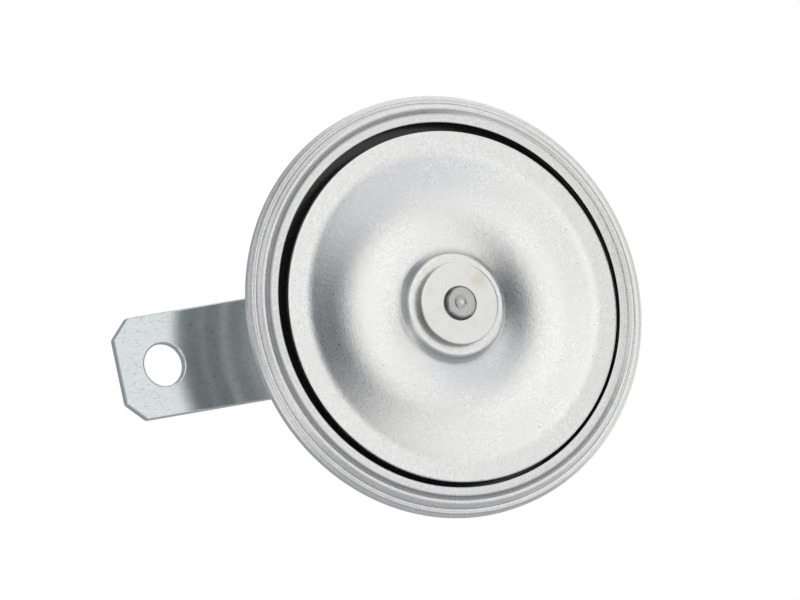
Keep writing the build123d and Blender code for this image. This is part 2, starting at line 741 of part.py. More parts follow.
def bracket_nut():
    """Plain hexagon nut with both rims chamfered."""
    hexagon = RegularPolygon(NUT_ACROSS_FLATS / 2, 6, major_radius=False)
    body = Pos(0, 0, nut_rear) * extrude(hexagon, NUT_HEIGHT)
    corner_radius = NUT_ACROSS_FLATS / 3**0.5
    blank = tube(corner_radius, 0, nut_rear, nut_front)
    blank = chamfer(blank.edges().filter_by(GeomType.CIRCLE), NUT_CHAMFER, NUT_CHAMFER)
    body &= blank
    body -= drill(0, 0, stud_hole, nut_rear, nut_front)
    return body


# ---------------------------------------------------------------- all pieces
PIECES = {
    "housing": housing,
    "clamp_ring": clamp_ring,
    "gasket_front": lambda: gasket(diaphragm_front),
    "gasket_rear": lambda: gasket(flange_front),
    "diaphragm": diaphragm,
    "tone_disc": tone_disc,
    "hub_washer": hub_washer,
    "armature": armature,
    "diaphragm_washer": diaphragm_washer,
    "spacer_bush": spacer_bush,
    "pole_core": pole_core,
    "coil_bobbin": coil_bobbin,
    "coil_winding": coil_winding,
    "breaker_post": breaker_post,
    "insulator_lower": lambda: insulator(post_front, leaf_rear),
    "insulator_upper": lambda: insulator(leaf_front, fixed_arm_rear),
    "breaker_leaf": breaker_leaf,
    "breaker_arm": breaker_arm,
    "arm_tip": arm_tip,
    "moving_contact": moving_contact,
    "fixed_arm": fixed_arm,
    "fixed_contact": fixed_contact,
    "breaker_rivets": breaker_rivets,
    "adjuster_bush": adjuster_bush,
    "adjusting_screw": adjusting_screw,
    "terminal_block": terminal_block,
    "coil_terminal": lambda: terminal(1),
    "breaker_terminal": lambda: terminal(-1),
    "terminal_rivets": terminal_rivets,
    "coil_lead_in": coil_lead_in,
    "coil_lead_out": coil_lead_out,
    "breaker_lead": breaker_lead,
    "bracket": bracket,
    "spring_washer": spring_washer,
    "bracket_nut": bracket_nut,
}

os.makedirs("parts", exist_ok=True)
for piece_name, make in PIECES.items():
    save(piece_name, make())
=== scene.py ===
"""Electric disc horn: the finished look of every piece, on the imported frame.

All sizes below are in millimetres. A turned piece is drawn as a (radius, height) section: height 0 is
the plane where the crimped rim is widest, and heights grow towards the front of the horn.
"""

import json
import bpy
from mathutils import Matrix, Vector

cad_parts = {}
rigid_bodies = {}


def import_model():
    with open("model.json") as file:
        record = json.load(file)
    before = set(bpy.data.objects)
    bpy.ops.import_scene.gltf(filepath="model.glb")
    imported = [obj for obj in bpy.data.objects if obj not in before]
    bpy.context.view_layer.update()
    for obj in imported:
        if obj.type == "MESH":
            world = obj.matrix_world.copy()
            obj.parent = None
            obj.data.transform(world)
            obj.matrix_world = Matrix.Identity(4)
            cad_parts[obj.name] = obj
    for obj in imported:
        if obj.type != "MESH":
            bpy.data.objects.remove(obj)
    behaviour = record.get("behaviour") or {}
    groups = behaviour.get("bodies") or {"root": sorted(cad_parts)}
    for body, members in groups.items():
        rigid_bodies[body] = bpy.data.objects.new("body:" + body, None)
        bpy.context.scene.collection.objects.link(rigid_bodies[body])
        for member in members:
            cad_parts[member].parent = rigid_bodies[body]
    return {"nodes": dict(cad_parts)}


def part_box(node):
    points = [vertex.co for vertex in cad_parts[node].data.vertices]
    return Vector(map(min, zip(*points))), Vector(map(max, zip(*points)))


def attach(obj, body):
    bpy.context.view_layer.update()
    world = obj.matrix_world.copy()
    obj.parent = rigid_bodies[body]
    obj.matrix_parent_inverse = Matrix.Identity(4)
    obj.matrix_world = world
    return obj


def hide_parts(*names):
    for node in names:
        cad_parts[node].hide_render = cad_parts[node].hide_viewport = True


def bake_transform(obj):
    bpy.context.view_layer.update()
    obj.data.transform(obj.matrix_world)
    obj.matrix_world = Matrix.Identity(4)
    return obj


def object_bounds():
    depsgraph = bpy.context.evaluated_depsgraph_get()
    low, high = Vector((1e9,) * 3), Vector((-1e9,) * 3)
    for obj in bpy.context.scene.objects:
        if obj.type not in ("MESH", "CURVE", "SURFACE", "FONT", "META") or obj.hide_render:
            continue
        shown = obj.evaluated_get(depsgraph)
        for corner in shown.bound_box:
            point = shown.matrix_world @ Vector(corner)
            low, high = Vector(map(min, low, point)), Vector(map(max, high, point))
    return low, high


bl_info = {
    "name": "Disc horn",
    "version": (1, 0, 0),
    "blender": (4, 5, 0),
    "location": "View3D > Sidebar > Disc horn",
    "description": "Builds an electric disc horn on its strap bracket, with its finishes and its stage",
    "category": "Object",
}

from math import acos, cos, pi, radians, sin, tan

import bpy
from mathutils import Matrix, Vector

for leftover in list(bpy.data.objects):
    bpy.data.objects.remove(leftover)
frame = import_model()

MM = 0.001
CAD_BOX = [[float(value) for value in corner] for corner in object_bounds()]

# the horn's axis, the sounder's axis beside it, and the height of the rim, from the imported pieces
HOUSING_LOW, HOUSING_HIGH = (Vector(corner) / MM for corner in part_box("housing"))
HUB_LOW, HUB_HIGH = (Vector(corner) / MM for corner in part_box("hub_washer"))
AXIS_X = (HOUSING_LOW.x + HOUSING_HIGH.x) / 2
HORN_AXIS = (AXIS_X, 0.0)
SOUNDER_AXIS = ((HUB_LOW.x + HUB_HIGH.x) / 2, (HUB_LOW.z + HUB_HIGH.z) / 2)
WASHER_FRONT = 6.63
RIM_Y = HUB_LOW.y + WASHER_FRONT

# housing: a cup, a flange with a small step, and the lip rolled over the clamp ring
RIM = 45.0
HOUSING_SHEET = 0.9
REAR = -22.0
WALL = 34.5
FLANGE_REAR = -3.175
SEAT_RADIUS = 39.7
SEAT_STEP = 0.4
LIP_FOOT = -0.3
LIP_TURN = (RIM - 0.75, 0.45)
LIP_END = (43.38, 0.34)
# round holes in its floor: distance from the axis along X and Z, radius
HOUSING_HOLES = [(28.646, 0.0, 1.5), (22.21, -9.611, 4.0), (10.465, 22.062, 1.1), (22.062, 10.465, 1.1)]
# the terminal block's window in its floor: turn in degrees, width and length
TERMINAL_TURN = 45.0
NECK = (5.5, 12.6)

# clamp ring: heights, and widths measured from its opening
RING_SHEET = 0.8
RING_OPENING = 38.9
RING_EDGE = 2.05
LAND_WIDTH = 2.05
CREASE_WIDTH = 2.4
CREASE_HEIGHT = 1.45
BEAD_WIDTH = 3.5
BEAD_HEIGHT = 2.35
BEAD_FOOT = (43.32, 0.42)
SKIRT_RADIUS = 43.3
RING_RADIUS = 43.85
RING_SEAT = -0.675

# tone disc
DISC_RADIUS = 37.46
DISC_SHEET = 1.5
DISC_FRONT = 3.1
BOSS_RADIUS = 10.9
BOSS_FRONT = 4.63
BOSS_FOOT = (11.4, 2.5)
TROUGH_RADIUS = 20.4
TROUGH_DEPTH = 3.38
TROUGH_BEND = 24.0
BRIM_CREASE = 32.5

# hub: the washer, and the armature with its collar and its spigot through the disc
WASHER_RADIUS = 8.85
SPIGOT_HOLE = 3.05
SPIGOT_RADIUS = 3.0
SPIGOT_RISE = 1.3
PLUNGER_RADIUS = 7.6
COLLAR_RADIUS = 12.0
DISH_REAR = -4.025
COLLAR_REAR = -5.525
ARMATURE_REAR = -11.025

# diaphragm: a flat edge, and a dish that lies further back
DIAPHRAGM_SHEET = 0.3
DIAPHRAGM_HOLE = 3.9
DISH_INNER = 14.0
DISH_OUTER = 33.6 - 0.75
DIAPHRAGM_RADIUS = 43.3
DIAPHRAGM_FRONT = -1.725
DISH_DEPTH = 2.0

# bracket, and the stud with the nut and washer that hold it
BRACKET_HALF = 11.0
BRACKET_SHEET = 2.0
BRACKET_CORNER = 4.0
BOLT_HOLE = 4.5
STUD_RADIUS = 4.0
STUD_HOLE = 4.05
THREAD_ROOT = 3.3
RELIEF_RADIUS = 3.42
CORE_RADIUS = 8.6
CORE_FRONT = -11.825
SPRING_WASHER = 2.0
NUT = 6.5
STUD_END = REAR - BRACKET_SHEET - SPRING_WASHER - NUT - 3.0

# camera: its axes in the part's frame, the point in the middle of the view, and millimetres to that point
VIEW_RIGHT = Vector((0.8996, -0.3842, -0.2074))
VIEW_UP = Vector((0.1529, -0.1678, 0.9738))
VIEW_BACK = Vector((-0.4090, -0.9078, -0.0922))
VIEW_MIDDLE = Vector((47.953, -20.473, 3.182))
VIEW_DISTANCE = 2500.0
VIEW_LENS = 534.4


# ---------------------------------------------------------------- settings
class HornSizes(bpy.types.PropertyGroup):
    """Sizes that only touch the finish, not the part's own dimensions."""

    round_steps: bpy.props.IntProperty(
        name="Round steps", description="Steps in a full turn of the large pressings", default=288, min=48
    )
    small_steps: bpy.props.IntProperty(
        name="Small round steps", description="Steps in a full turn of the small pieces", default=96, min=24
    )
    edge_break: bpy.props.FloatProperty(
        name="Edge break", description="Width of the broken edge of stamped pieces", default=0.22 * MM, unit="LENGTH"
    )
    strip_round: bpy.props.FloatProperty(
        name="Strip round", description="Width of the worn edge of the strip", default=0.42 * MM, unit="LENGTH"
    )
    thread_pitch: bpy.props.FloatProperty(
        name="Thread pitch", description="Pitch of the stud's thread", default=1.25 * MM, unit="LENGTH"
    )
    floor_drop: bpy.props.FloatProperty(
        name="Floor drop", description="How far the stage's floor lies below the horn", default=0.45, unit="LENGTH"
    )


def colour_setting(name, description, value):
    """A colour property."""
    return bpy.props.FloatVectorProperty(
        name=name, description=description, default=value, size=3, min=0.0, max=1.0, subtype="COLOR"
    )


class HornColours(bpy.types.PropertyGroup):
    """Base colours of the finishes."""

    zinc: colour_setting("Zinc", "Matte galvanised sheet", (0.865, 0.86, 0.845))
    strip: colour_setting("Strip", "Bright zinc-plated strip", (0.632, 0.664, 0.675))
    fastener: colour_setting("Fastener", "Plated washers, nut and rivets", (0.80, 0.795, 0.775))
    iron: colour_setting("Iron", "Turned soft iron", (0.50, 0.495, 0.485))
    steel: colour_setting("Steel", "Plain steel of the breaker", (0.58, 0.58, 0.575))
    brass: colour_setting("Brass", "Brass blades and bush", (0.76, 0.60, 0.30))
    bronze: colour_setting("Bronze", "Spring bronze of the leaf and arms", (0.70, 0.47, 0.28))
    contact: colour_setting("Contacts", "Silver contact buttons", (0.82, 0.81, 0.78))
    copper: colour_setting("Copper", "Enamelled copper wire", (0.62, 0.24, 0.10))
    lead: colour_setting("Leads", "Insulation of the inner leads", (0.42, 0.13, 0.08))
    moulding: colour_setting("Moulding", "Dark moulded plastic", (0.035, 0.035, 0.038))
    fibre: colour_setting("Fibre", "Pressed insulating fibre", (0.33, 0.17, 0.09))
    gasket: colour_setting("Gasket", "Sealing paper", (0.16, 0.13, 0.10))
    diaphragm: colour_setting("Diaphragm", "Black lacquered spring sheet", (0.03, 0.03, 0.032))
    flag: colour_setting("Flag", "Dark card that the metal mirrors", (0.035, 0.045, 0.06))
    rear: colour_setting("Rear card", "Grey card behind the horn that the metal mirrors", (0.35, 0.395, 0.405))


def sizes():
    return bpy.context.scene.horn_sizes


def colours():
    return bpy.context.scene.horn_colours


# ---------------------------------------------------------------- modelling helpers
def deselect():
    """Leaves nothing selected."""
    bpy.ops.object.select_all(action="DESELECT")
    bpy.context.view_layer.objects.active = None


def only(piece):
    """Leaves one piece selected, and makes it the active one."""
    deselect()
    piece.select_set(True)
    bpy.context.view_layer.objects.active = piece


def place(radius, height, across=0.0, axis=HORN_AXIS):
    """A point beside an axis, in the part's frame."""
    return Vector(((axis[0] + radius) * MM, (RIM_Y - height) * MM, (axis[1] + across) * MM))


def beside(points, distance):
    """A run of points moved to its left, with mitred corners."""
    runs = [(Vector(b) - Vector(a)).normalized() for a, b in zip(points, points[1:])]
    normals = [Vector((-run.y, run.x)) for run in runs]
    moved = []
    for point, before, after in zip(points, normals[:1] + normals, normals + normals[-1:]):
        moved.append(Vector(point) + (before + after) * (distance / (1 + before.dot(after))))
    return moved


def rounded(points, radii, step=6.0):
    """A run of points with its inner corners turned to arcs."""
    path = [Vector(points[0])]
    for before, corner, after, radius in zip(points, points[1:], points[2:], radii):
        corner = Vector(corner)
        back = (Vector(before) - corner).normalized()
        ahead = (Vector(after) - corner).normalized()
        turn = pi - acos(max(-1.0, min(1.0, back.dot(ahead))))
        if not radius or turn < 0.01:
            path.append(corner)
            continue
        reach = radius * tan(turn / 2)
        centre = corner + (back + ahead).normalized() * (radius / cos(turn / 2))
        start = corner + back * reach - centre
        side = 1 if back.x * ahead.y - back.y * ahead.x < 0 else -1
        count = max(2, round(turn / radians(step)))
        for index in range(count + 1):
            path.append(centre + Matrix.Rotation(side * turn * index / count, 2) @ start)
    path.append(Vector(points[-1]))
    return path


def pressing(points, bends, thickness, step=6.0):
    """The closed section of a bent sheet: one face, then the other face back to the start."""
    face = rounded(points, [near for near, _ in bends], step)
    back = rounded(beside(points, thickness), [far for _, far in bends], step)
    return face + back[::-1]


def spread(path, longest):
    """Divides the long runs of a section, and keeps a narrow strip at both ends of each, so that flat faces
    shade flat beside their rounded edges."""
    guard = 0.1
    dense = [path[0]]
    for start, end in zip(path, path[1:]):
        length = (end - start).length
        if length > 6 * guard:
            inner_start = start.lerp(end, guard / length)
            inner_end = end.lerp(start, guard / length)
            count = max(1, round((length - 2 * guard) / longest))
            dense += [inner_start.lerp(inner_end, index / count) for index in range(count + 1)]
        dense.append(end)
    return dense


def traced(name, points):
    """Draws a line vertex by vertex, and leaves it in edit mode with all of it selected."""
    deselect()
    bpy.ops.mesh.primitive_plane_add(size=MM, location=(0, 0, 0))
    piece = bpy.context.object
    piece.name = piece.data.name = name
    bpy.ops.object.mode_set(mode="EDIT")
    bpy.ops.mesh.select_all(action="SELECT")
    bpy.ops.mesh.merge(type="CENTER")
    bpy.ops.transform.translate(value=points[0])
    for start, end in zip(points, points[1:]):
        bpy.ops.mesh.extrude_vertices_move(TRANSFORM_OT_translate={"value": end - start})
    bpy.ops.mesh.select_all(action="SELECT")
    return piece


def turned(name, path, steps, closed=True, axis=HORN_AXIS):
    """Spins a section about an axis."""
    points = [place(point[0], point[1], 0.0, axis) for point in path]
    if closed:
        points.append(points[0])
    piece = traced(name, points)
    centre = (axis[0] * MM, 0, axis[1] * MM)
    bpy.ops.mesh.spin(steps=steps, angle=2 * pi, center=centre, axis=(0, 1, 0))
    tidy_mesh()
    smooth(piece)
    return piece


def tidy_mesh():
    """Merges doubles and turns the faces outwards, in edit mode."""
    bpy.ops.mesh.select_all(action="SELECT")
    bpy.ops.mesh.remove_doubles(threshold=0.0005 * MM)
    bpy.ops.mesh.normals_make_consistent(inside=False)
    bpy.ops.mesh.select_all(action="DESELECT")
    bpy.ops.object.mode_set(mode="OBJECT")


def smooth(piece, angle=32):
    """Smooth shading with the sharp edges kept."""
    only(piece)
    bpy.ops.object.shade_smooth_by_angle(angle=radians(angle))


def cut(piece, cutters):
    """Takes the cutters out of a piece and deletes them."""
    for cutter in cutters:
        only(piece)
        tool = piece.modifiers.new("cut", "BOOLEAN")
        tool.operation = "DIFFERENCE"
        tool.solver = "EXACT"
        tool.object = cutter
        bpy.ops.object.modifier_apply(modifier=tool.name)
        bpy.data.objects.remove(cutter)


def peg(x, z, radius, low, high, steps=64):
    """A round cutter along the horn's axis; x and z are measured from the axis."""
    deselect()
    middle = place(x, (low + high) / 2, z)
    bpy.ops.mesh.primitive_cylinder_add(
        vertices=steps, radius=radius * MM, depth=(high - low) * MM, location=middle, rotation=(pi / 2, 0, 0)
    )
    return settled(bpy.context.object)


def settled(piece):
    """Puts an object's place, turn and scale into its mesh."""
    only(piece)
    bpy.ops.object.transform_apply(location=True, rotation=True, scale=True)
    return piece


def bevelled(piece, width, segments=3, angle=35):
    """Breaks the edges of a piece for good, with its flat faces kept flat in their shading."""
    smooth(piece)
    edge = piece.modifiers.new("edge", "BEVEL")
    edge.width = width
    edge.segments = segments
    edge.limit_method = "ANGLE"
    edge.angle_limit = radians(angle)
    edge.harden_normals = True
    bpy.ops.object.modifier_apply(modifier=edge.name)


def softened(node, name, width, segments=2):
    """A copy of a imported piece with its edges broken."""
    source = frame["nodes"][node]
    piece = source.copy()
    piece.data = source.data.copy()
    piece.name = piece.data.name = name
    piece.parent = None
    piece.matrix_world = Matrix.Identity(4)
    bpy.context.scene.collection.objects.link(piece)
    piece.hide_render = False
    only(piece)
    bpy.ops.object.mode_set(mode="EDIT")
    bpy.ops.mesh.select_all(action="SELECT")
    bpy.ops.mesh.remove_doubles(threshold=0.001 * MM)
    bpy.ops.mesh.dissolve_limited(angle_limit=radians(1.0))
    bpy.ops.mesh.select_all(action="DESELECT")
    bpy.ops.object.mode_set(mode="OBJECT")
    bevelled(piece, width, segments)
    return piece


def finished(piece, body, slot, material, *nodes):
    """Gives a new piece its finish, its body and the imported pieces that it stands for."""
    piece.data.materials.clear()
    piece.data.materials.append(material)
    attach(piece, body)
    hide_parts(*nodes)


def dressed(node, material):
    """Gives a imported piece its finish."""
    piece = frame["nodes"][node]
    if not piece.material_slots:
        raise RuntimeError(f"{node} has no material slot")
    for slot in piece.material_slots:
        slot.material = material


# ---------------------------------------------------------------- node helpers
def feed(tree, node, values):
    """Fills a node's inputs: a socket given as a value is linked, anything else is set."""
    for key, value in values.items():
        if isinstance(value, bpy.types.NodeSocket):
            tree.links.new(value, node.inputs[key])
        else:
            node.inputs[key].default_value = value


def add(tree, kind, values=None, **settings):
    """A shader node with its inputs filled."""
    made = tree.nodes.new("ShaderNode" + kind)
    for key, value in settings.items():
        setattr(made, key, value)
    feed(tree, made, values or {})
    return made


def maths(tree, operation, first, second=0.0):
    return add(tree, "Math", {0: first, 1: second}, operation=operation).outputs[0]


def vector_maths(tree, operation, first, second=(0.0, 0.0, 0.0)):
    return add(tree, "VectorMath", {0: first, 1: second}, operation=operation).outputs[0]


def blend(tree, factor, first, second):
    """Mixes two colours."""
    made = add(tree, "Mix", {0: factor, 6: rgba(first), 7: rgba(second)}, data_type="RGBA")
    return made.outputs[2]


def rgba(colour):
    if isinstance(colour, bpy.types.NodeSocket):
        return colour
    return (*colour[:3], 1.0)


def shaded(colour, share):
    """A colour scaled by a share."""
    return tuple(min(1.0, part * share) for part in colour[:3])


def fade(tree, value, low, high, start=0.0, end=1.0):
    """Maps a value from low..high to start..end with soft ends."""
    values = {"Value": value, "From Min": low, "From Max": high, "To Min": start, "To Max": end}
    return add(tree, "MapRange", values, interpolation_type="SMOOTHSTEP").outputs[0]


def millimetres(tree):
    """Object coordinates in millimetres from the horn's axis."""
    spot = add(tree, "TexCoord").outputs["Object"]
    moved = vector_maths(tree, "SUBTRACT", spot, (AXIS_X * MM, 0.0, 0.0))
    return add(tree, "VectorMath", {0: moved, "Scale": 1 / MM}, operation="SCALE").outputs[0]


def stretched(tree, spot, scale, turn=0.0):
    """Coordinates stretched along an axis, and turned about the horn's axis."""
    return add(
        tree, "Mapping", {"Vector": spot, "Rotation": (0.0, radians(turn), 0.0), "Scale": scale}
    ).outputs[0]


def noise(tree, spot, scale, detail=3.0, roughness=0.55):
    values = {"Vector": spot, "Scale": scale, "Detail": detail, "Roughness": roughness}
    return add(tree, "TexNoise", values).outputs["Fac"]


def norm(tree, vector):
    return add(tree, "VectorMath", {0: vector}, operation="LENGTH").outputs["Value"]


def rings(tree, spot, scale, detail, roughness):
    """Noise that runs round the horn's axis, for rolled and turned marks."""
    parts = add(tree, "SeparateXYZ", {0: spot}).outputs
    flat = add(tree, "CombineXYZ", {"X": parts["X"], "Z": parts["Z"]}).outputs[0]
    around = add(tree, "CombineXYZ", {"X": norm(tree, flat), "Y": parts["Y"]}).outputs[0]
    return noise(tree, around, scale, detail, roughness)


def from_axis(tree, spot, axis):
    """Distance from an axis of the horn, in millimetres."""
    moved = vector_maths(tree, "SUBTRACT", spot, (axis[0] - AXIS_X, 0.0, axis[1]))
    return norm(tree, vector_maths(tree, "MULTIPLY", moved, (1.0, 0.0, 1.0)))


def specks(tree, spot, scale, share, size):
    """Sparse round specks: 1 inside a speck."""
    cells = add(tree, "TexVoronoi", {"Vector": spot, "Scale": scale}, feature="F1")
    chosen = add(tree, "SeparateColor", {0: cells.outputs["Color"]}).outputs
    limit = maths(tree, "MULTIPLY", chosen["Green"], size * scale)
    inside = fade(tree, maths(tree, "DIVIDE", cells.outputs["Distance"], limit), 0.6, 1.1, 1.0, 0.0)
    return maths(tree, "MULTIPLY", inside, maths(tree, "LESS_THAN", chosen["Red"], share))


def scuffs(tree, spot, turn, share, across=5.0, along=0.16):
    """Sparse short scratches in one direction: 1 on a scratch."""
    lengthwise = stretched(tree, spot, (along, 0.4, across), turn)
    lines = add(tree, "TexVoronoi", {"Vector": lengthwise, "Scale": 1.0}, feature="F1")
    chosen = add(tree, "SeparateColor", {0: lines.outputs["Color"]}).outputs
    thin = fade(tree, lines.outputs["Distance"], 0.05, 0.16, 1.0, 0.0)
    return maths(tree, "MULTIPLY", thin, maths(tree, "LESS_THAN", chosen["Red"], share))


def emptied(owner):
    """The cleared node tree of a material or a world."""
    owner.use_nodes = True
    owner.node_tree.nodes.clear()
    return owner.node_tree


def new_material(name):
    """A material with a bare shader; returns it, its tree and the shader."""
    material = bpy.data.materials.new(name)
    tree = emptied(material)
    shader = add(tree, "BsdfPrincipled")
    add(tree, "OutputMaterial", {"Surface": shader.outputs[0]})
    return material, tree, shader


def bump(tree, shader, height, depth, strength=1.0):
    """Relief of a depth in millimetres."""
    made = add(tree, "Bump", {"Height": height, "Distance": depth * MM, "Strength": strength})
    tree.links.new(made.outputs[0], shader.inputs["Normal"])


# ---------------------------------------------------------------- finishes
# painted shade: the colour that the zinc pieces get in their creases, at the ring's opening and round the boss's foot
PAINTED_SHADE = (0.085, 0.095, 0.115)
# the direction in which the painted shade thins out, along X and Z, and how far that way from the axis it thins out
SHADE_THIN_SIDE = (0.94, 0.34)
THINNING = (28.11, 73.11)


def galvanised(name, colour, rolled=0.0, shade_bands=()):
    """Matte zinc: fine mottled grain, dark flecks and a few scratches; rolled adds marks round the rim, and the last
    argument lists bands of painted shade in creases and at edges: axis, radius where each starts, is full, begins
    to fade and ends, its strength, the share of it that is missing on the side where the shade thins out, and,
    where they aren't the usual ones, the two distances between which that share goes missing."""
    material, tree, shader = new_material(name)
    spot = millimetres(tree)
    grain = noise(tree, spot, 2.6, 3.0, 0.75)
    mottle = noise(tree, spot, 0.95, 2.0, 0.6)
    cloud = noise(tree, spot, 0.13, 2.0)
    base = blend(tree, fade(tree, grain, 0.30, 0.70), shaded(colour, 0.84), shaded(colour, 1.14))
    base = blend(tree, fade(tree, mottle, 0.42, 0.68, 0.0, 0.30), base, shaded(colour, 0.84))
    base = blend(tree, fade(tree, cloud, 0.42, 0.64, 0.0, 0.6), base, shaded(colour, 0.95))
    dots = specks(tree, spot, 0.45, 0.42, 0.22)
    pits = specks(tree, stretched(tree, spot, (1.0, 1.0, 0.7), 30.0), 1.25, 0.10, 0.14)
    marks = maths(tree, "MAXIMUM", scuffs(tree, spot, 35.0, 0.045), scuffs(tree, spot, -62.0, 0.04, 6.0, 0.2))
    dirt = maths(tree, "MAXIMUM", maths(tree, "MULTIPLY", dots, 0.75), maths(tree, "MULTIPLY", pits, 0.7))
    dirt = maths(tree, "MAXIMUM", dirt, maths(tree, "MULTIPLY", marks, 0.5))
    flecks = fade(tree, noise(tree, spot, 1.3, 4.0, 0.8), 0.645, 0.69, 0.0, 0.6)
    dirt = maths(tree, "MAXIMUM", dirt, flecks)
    base = blend(tree, dirt, base, shaded(colour, 0.30))
    relief = maths(tree, "ADD", grain, maths(tree, "MULTIPLY", mottle, 0.8))
    parts = add(tree, "SeparateXYZ", {0: spot}).outputs
    along = [maths(tree, "MULTIPLY", parts[part], share) for part, share in zip("XZ", SHADE_THIN_SIDE)]
    along = maths(tree, "ADD", *along)
    # painted shade: each band darkens the zinc towards the shade colour, less on the side where it thins out
    for axis, start, full, waning, end, strength, missing, *sides in shade_bands:
        near, far = sides or THINNING
        reach = from_axis(tree, spot, axis)
        rise = fade(tree, reach, start, full, 0.0, strength)
        fall = fade(tree, reach, waning, end, strength, 0.0)
        held = fade(tree, along, near, far, 1.0, 1.0 - missing)
        base = blend(tree, maths(tree, "MULTIPLY", maths(tree, "MINIMUM", rise, fall), held), base, PAINTED_SHADE)
    if rolled:
        lines = rings(tree, spot, 3.6, 5.0, 0.75)
        base = blend(tree, fade(tree, lines, 0.35, 0.7, 0.0, rolled), base, shaded(colour, 0.60))
        relief = maths(tree, "ADD", maths(tree, "MULTIPLY", lines, 1.6), relief)
    rough = fade(tree, grain, 0.3, 0.7, 0.27, 0.34)
    feed(tree, shader, {"Base Color": base, "Roughness": rough, "Metallic": 1.0})
    bump(tree, shader, relief, 0.028)
    return material


def plated_strip(name, colour):
    """Bright plated strip with fine broken marks along its length."""
    material, tree, shader = new_material(name)
    spot = millimetres(tree)
    lines = noise(tree, stretched(tree, spot, (0.5, 2.0, 2.2)), 1.0, 6.0, 0.75)
    grain = noise(tree, spot, 2.4, 3.0, 0.7)
    base = blend(tree, fade(tree, lines, 0.34, 0.66), shaded(colour, 0.92), shaded(colour, 1.08))
    base = blend(tree, fade(tree, grain, 0.35, 0.7, 0.0, 0.5), base, shaded(colour, 0.93))
    dashes = maths(tree, "MAXIMUM", scuffs(tree, spot, 3.0, 0.16, 3.6, 0.30), scuffs(tree, spot, -4.0, 0.10, 5.0, 0.5))
    flakes = noise(tree, stretched(tree, spot, (0.7, 1.2, 1.2), 12.0), 1.5, 5.0, 0.9)
    marks = maths(tree, "MAXIMUM", maths(tree, "MULTIPLY", dashes, 0.5), fade(tree, flakes, 0.57, 0.64, 0.0, 0.85))
    base = blend(tree, marks, base, shaded(colour, 0.36))
    base = blend(tree, fade(tree, flakes, 0.40, 0.33, 0.0, 0.8), base, shaded(colour, 1.30))
    rough = fade(tree, lines, 0.3, 0.7, 0.10, 0.17)
    feed(tree, shader, {"Base Color": base, "Roughness": rough, "Metallic": 1.0})
    bump(tree, shader, maths(tree, "ADD", lines, maths(tree, "MULTIPLY", grain, 0.5)), 0.008)
    return material


def worked_metal(name, colour, roughness, grain_size=1.6, lathe=0.0):
    """Metal with a fine grain; lathe adds turning marks round the axis."""
    material, tree, shader = new_material(name)
    spot = millimetres(tree)
    grain = noise(tree, spot, grain_size, 4.0, 0.65)
    cloud = noise(tree, spot, 0.25, 2.0)
    base = blend(tree, fade(tree, grain, 0.35, 0.68), shaded(colour, 0.93), shaded(colour, 1.04))
    base = blend(tree, fade(tree, cloud, 0.42, 0.66, 0.0, 0.5), base, shaded(colour, 0.86))
    relief = grain
    if lathe:
        lines = rings(tree, spot, 6.0, 4.0, 0.7)
        relief = maths(tree, "ADD", maths(tree, "MULTIPLY", lines, lathe), grain)
    rough = fade(tree, grain, 0.3, 0.7, roughness * 0.85, roughness * 1.15)
    feed(tree, shader, {"Base Color": base, "Roughness": rough, "Metallic": 1.0})
    bump(tree, shader, relief, 0.008)
    return material


def peened(name, colour):
    """Turned iron whose front end is hammered, with a painted highlight in the middle of that end and painted shade on
    its sloping side.
    """
    material, tree, shader = new_material(name)
    spot = millimetres(tree)
    grain = noise(tree, spot, 1.8, 4.0, 0.65)
    uneven = maths(tree, "ADD", from_axis(tree, spot, SOUNDER_AXIS), maths(tree, "MULTIPLY", grain, 0.5))
    base = blend(tree, fade(tree, grain, 0.35, 0.68), shaded(colour, 0.82), shaded(colour, 1.1))
    # painted highlight: a bright spot in the middle of the end, with a darker ring round it and a lighter top beyond
    base = blend(tree, fade(tree, uneven, 0.45, 1.0, 0.85, 0.0), base, (0.78, 0.78, 0.76))
    base = blend(tree, fade(tree, uneven, 1.3, 1.9, 0.0, 0.35), base, shaded(colour, 1.3))
    # painted shade on the sloping side of the end
    base = blend(tree, fade(tree, uneven, 3.3, 3.7, 0.0, 0.9), base, shaded(colour, 0.15))
    rough = fade(tree, grain, 0.3, 0.7, 0.28, 0.40)
    feed(tree, shader, {"Base Color": base, "Roughness": rough, "Metallic": 1.0})
    bump(tree, shader, grain, 0.03)
    return material


def stained_washer(name, colour):
    """Plated washer with painted shade on its side wall and a faint straw stain on its face."""
    material, tree, shader = new_material(name)
    spot = millimetres(tree)
    grain = noise(tree, spot, 3.0, 3.0, 0.6)
    base = blend(tree, fade(tree, grain, 0.35, 0.65), shaded(colour, 0.98), shaded(colour, 1.02))
    patch = (SOUNDER_AXIS[0] + 5.4, SOUNDER_AXIS[1] + 4.3)
    uneven = maths(tree, "ADD", from_axis(tree, spot, patch), maths(tree, "MULTIPLY", noise(tree, spot, 0.6, 3.0), 2.4))
    base = blend(tree, fade(tree, uneven, 1.7, 3.8, 0.75, 0.0), base, (0.66, 0.655, 0.54))
    cloud = noise(tree, spot, 0.5, 3.0)
    base = blend(tree, fade(tree, cloud, 0.5, 0.7, 0.0, 0.5), base, shaded(colour, 0.88))
    # painted shade: the washer's side wall darkened
    reach = from_axis(tree, spot, SOUNDER_AXIS)
    side = fade(tree, reach, WASHER_RADIUS - 0.07, WASHER_RADIUS, 0.0, 0.85)
    base = blend(tree, side, base, shaded(colour, 0.16))
    feed(tree, shader, {"Base Color": base, "Roughness": 0.30, "Metallic": 1.0})
    bump(tree, shader, grain, 0.004)
    return material


